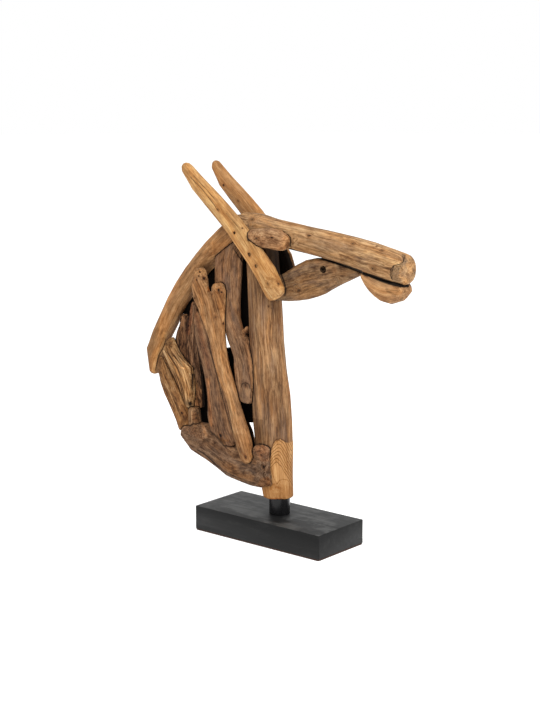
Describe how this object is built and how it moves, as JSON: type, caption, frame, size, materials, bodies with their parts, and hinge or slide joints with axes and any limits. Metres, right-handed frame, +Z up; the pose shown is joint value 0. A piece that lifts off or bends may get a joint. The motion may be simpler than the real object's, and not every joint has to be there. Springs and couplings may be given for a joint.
{
  "type": "wooden horse head sculpture",
  "caption": "Horse's head and neck built from weathered teak sticks and boards, standing on a matte black block with a short black tube",
  "frame": {"origin": "the centre of the underside of the felt pad under the block, on the surface the sculpture stands on", "axes": "+Z up, +X the way the nose points, -Y the near side, the one the picture shows"},
  "size_m": [0.6626, 0.142, 0.7425],
  "materials": {
    "black_paint": "matte black paint on wood, faint scuffs",
    "brown_felt": "thin felt",
    "black_metal": "semi-gloss black",
    "post_teak": "weathered teak with grey streaks, sanded golden at its foot",
    "crest_teak": "smooth worn teak",
    "muzzle_teak": "worn teak with dark streaks and a broken grey edge at its cut face",
    "brow_teak": "worn curly teak",
    "cheek_teak": "weathered grey-brown teak",
    "chin_teak": "light worn teak",
    "honey_teak": "smooth honey-coloured teak with worm holes",
    "tan_teak": "smooth tan teak",
    "back_teak": "worn brown teak",
    "wing_teak": "rough dark weathered teak",
    "wedge_teak": "split golden teak",
    "stub_teak": "rough teak end grain",
    "rotted_teak": "pitted reddish-brown rotted teak",
    "slat_teak": "weathered grey-brown teak",
    "fork_teak": "light tan teak with knots",
    "plank_teak": "rough dark weathered teak",
    "far_front_board_teak": "rough dark teak",
    "far_long_slat_teak": "worn teak",
    "far_short_slat_teak": "worn teak",
    "far_back_slat_teak": "worn teak"
  },
  "bodies": {
    "root": {"plinth": "black_paint", "felt_pad": "brown_felt", "tube": "black_metal", "neck_post": "post_teak", "crest_beam": "crest_teak", "muzzle_log": "muzzle_teak", "brow_block": "brow_teak", "cheek_board": "cheek_teak", "chin_block": "chin_teak", "near_ear": "honey_teak", "far_ear": "tan_teak", "back_stick": "back_teak", "wing_block": "wing_teak", "split_wedge": "wedge_teak", "short_stub": "stub_teak", "rotted_board": "rotted_teak", "middle_slat": "slat_teak", "fork_slat": "fork_teak", "upper_plank": "plank_teak", "far_front_board": "far_front_board_teak", "far_long_slat": "far_long_slat_teak", "far_short_slat": "far_short_slat_teak", "far_back_slat": "far_back_slat_teak"}
  },
  "joints": []
}
